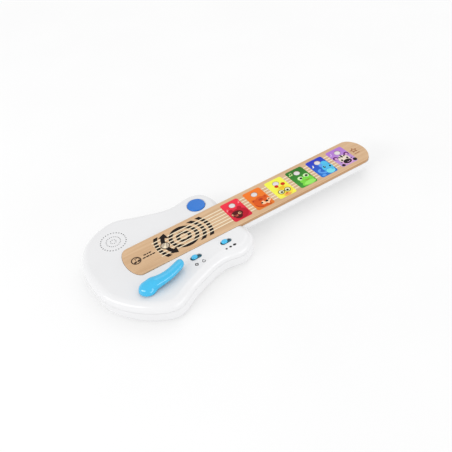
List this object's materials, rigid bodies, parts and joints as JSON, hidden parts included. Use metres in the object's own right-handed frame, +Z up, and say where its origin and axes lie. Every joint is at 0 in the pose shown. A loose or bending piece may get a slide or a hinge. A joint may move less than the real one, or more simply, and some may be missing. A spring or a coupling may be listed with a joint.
{
  "type": "toy electric guitar",
  "caption": "Toddler's toy electric guitar: white plastic body and neck, wooden touch fretboard with lit pads, round button, sprung lever and slide controls.",
  "frame": {"origin": "middle of the bounding rectangle of the underside, on the surface the toy lies on", "axes": "+X runs along the neck to the head, +Y to the side with the round button, +Z up from the underside to the fretboard"},
  "size_m": [0.4446, 0.192, 0.0465],
  "materials": {
    "white_plastic": "moulded, softly glossy",
    "wood": "light plywood, sealed, matt, with printed colours",
    "frosted_plastic": "frosted, satin",
    "deep_blue_plastic": "moulded, satin",
    "light_blue_plastic": "moulded, glossy",
    "circuit_board": "solder resist",
    "black_plastic": "matt",
    "ferrite": "sintered, matt",
    "steel": "plated, bright",
    "battery_skin": "plain label foil, glossy",
    "red_insulation": "satin",
    "black_insulation": "satin",
    "grey_insulation": "satin"
  },
  "bodies": {
    "body": {"front_shell": "white_plastic", "rear_shell": "white_plastic", "fretboard": "wood", "light_window_1": "frosted_plastic", "light_window_2": "frosted_plastic", "light_window_3": "frosted_plastic", "light_window_4": "frosted_plastic", "light_window_5": "frosted_plastic", "light_window_6": "frosted_plastic", "touch_board": "circuit_board", "main_board": "circuit_board", "sound_chip": "black_plastic", "button_switch": "black_plastic", "button_spring": "steel", "mode_switch": "steel", "volume_switch": "steel", "lever_spring": "steel", "lever_sensor": "black_plastic", "speaker_frame": "steel", "speaker_magnet": "ferrite", "speaker_cone": "black_plastic", "speaker_screw_1": "steel", "speaker_screw_2": "steel", "battery_1": "battery_skin", "battery_2": "battery_skin", "battery_3": "battery_skin", "battery_spring_1": "steel", "battery_spring_2": "steel", "battery_spring_3": "steel", "contact_positive": "steel", "contact_bridge_1": "steel", "contact_bridge_2": "steel", "contact_negative": "steel", "battery_wire_red": "red_insulation", "battery_wire_black": "black_insulation", "speaker_wire_red": "red_insulation", "speaker_wire_black": "black_insulation", "ribbon_cable": "grey_insulation", "shell_screw_1": "steel", "shell_screw_2": "steel", "shell_screw_3": "steel", "shell_screw_4": "steel", "shell_screw_5": "steel", "shell_screw_6": "steel", "fretboard_screw_1": "steel", "fretboard_screw_2": "steel", "fretboard_screw_3": "steel", "fretboard_screw_4": "steel", "board_screw_1": "steel", "board_screw_2": "steel", "board_screw_3": "steel"},
    "play_button": {"play_button": "deep_blue_plastic"},
    "lever": {"lever": "light_blue_plastic", "lever_crank": "white_plastic", "lever_screw": "steel"},
    "mode_knob": {"mode_knob": "light_blue_plastic"},
    "volume_knob": {"volume_knob": "light_blue_plastic"},
    "battery_door": {"battery_door": "white_plastic", "battery_door_screw": "steel"}
  },
  "joints": [
    {"name": "button_press", "type": "slide", "parent": "body", "child": "play_button", "axis": [0, 0, -1], "range_m": [0, 0.0015], "stiffness_N_per_m": 800, "deforming": ["button_spring"]},
    {"name": "lever_swing", "type": "hinge", "parent": "body", "child": "lever", "pos_m": [-0.1686, -0.0562, 0.0285], "axis": [0, 0, 1], "range_deg": [-15, 15], "stiffness_Nm_per_rad": 0.15},
    {"name": "mode_slide", "type": "slide", "parent": "body", "child": "mode_knob", "axis": [1, 0, 0], "range_m": [0, 0.0045]},
    {"name": "volume_slide", "type": "slide", "parent": "body", "child": "volume_knob", "axis": [1, 0, 0], "range_m": [0, 0.0045]},
    {"name": "battery_door_release", "type": "slide", "parent": "body", "child": "battery_door", "axis": [0, 0, -1], "range_m": [0, 0.02]}
  ]
}
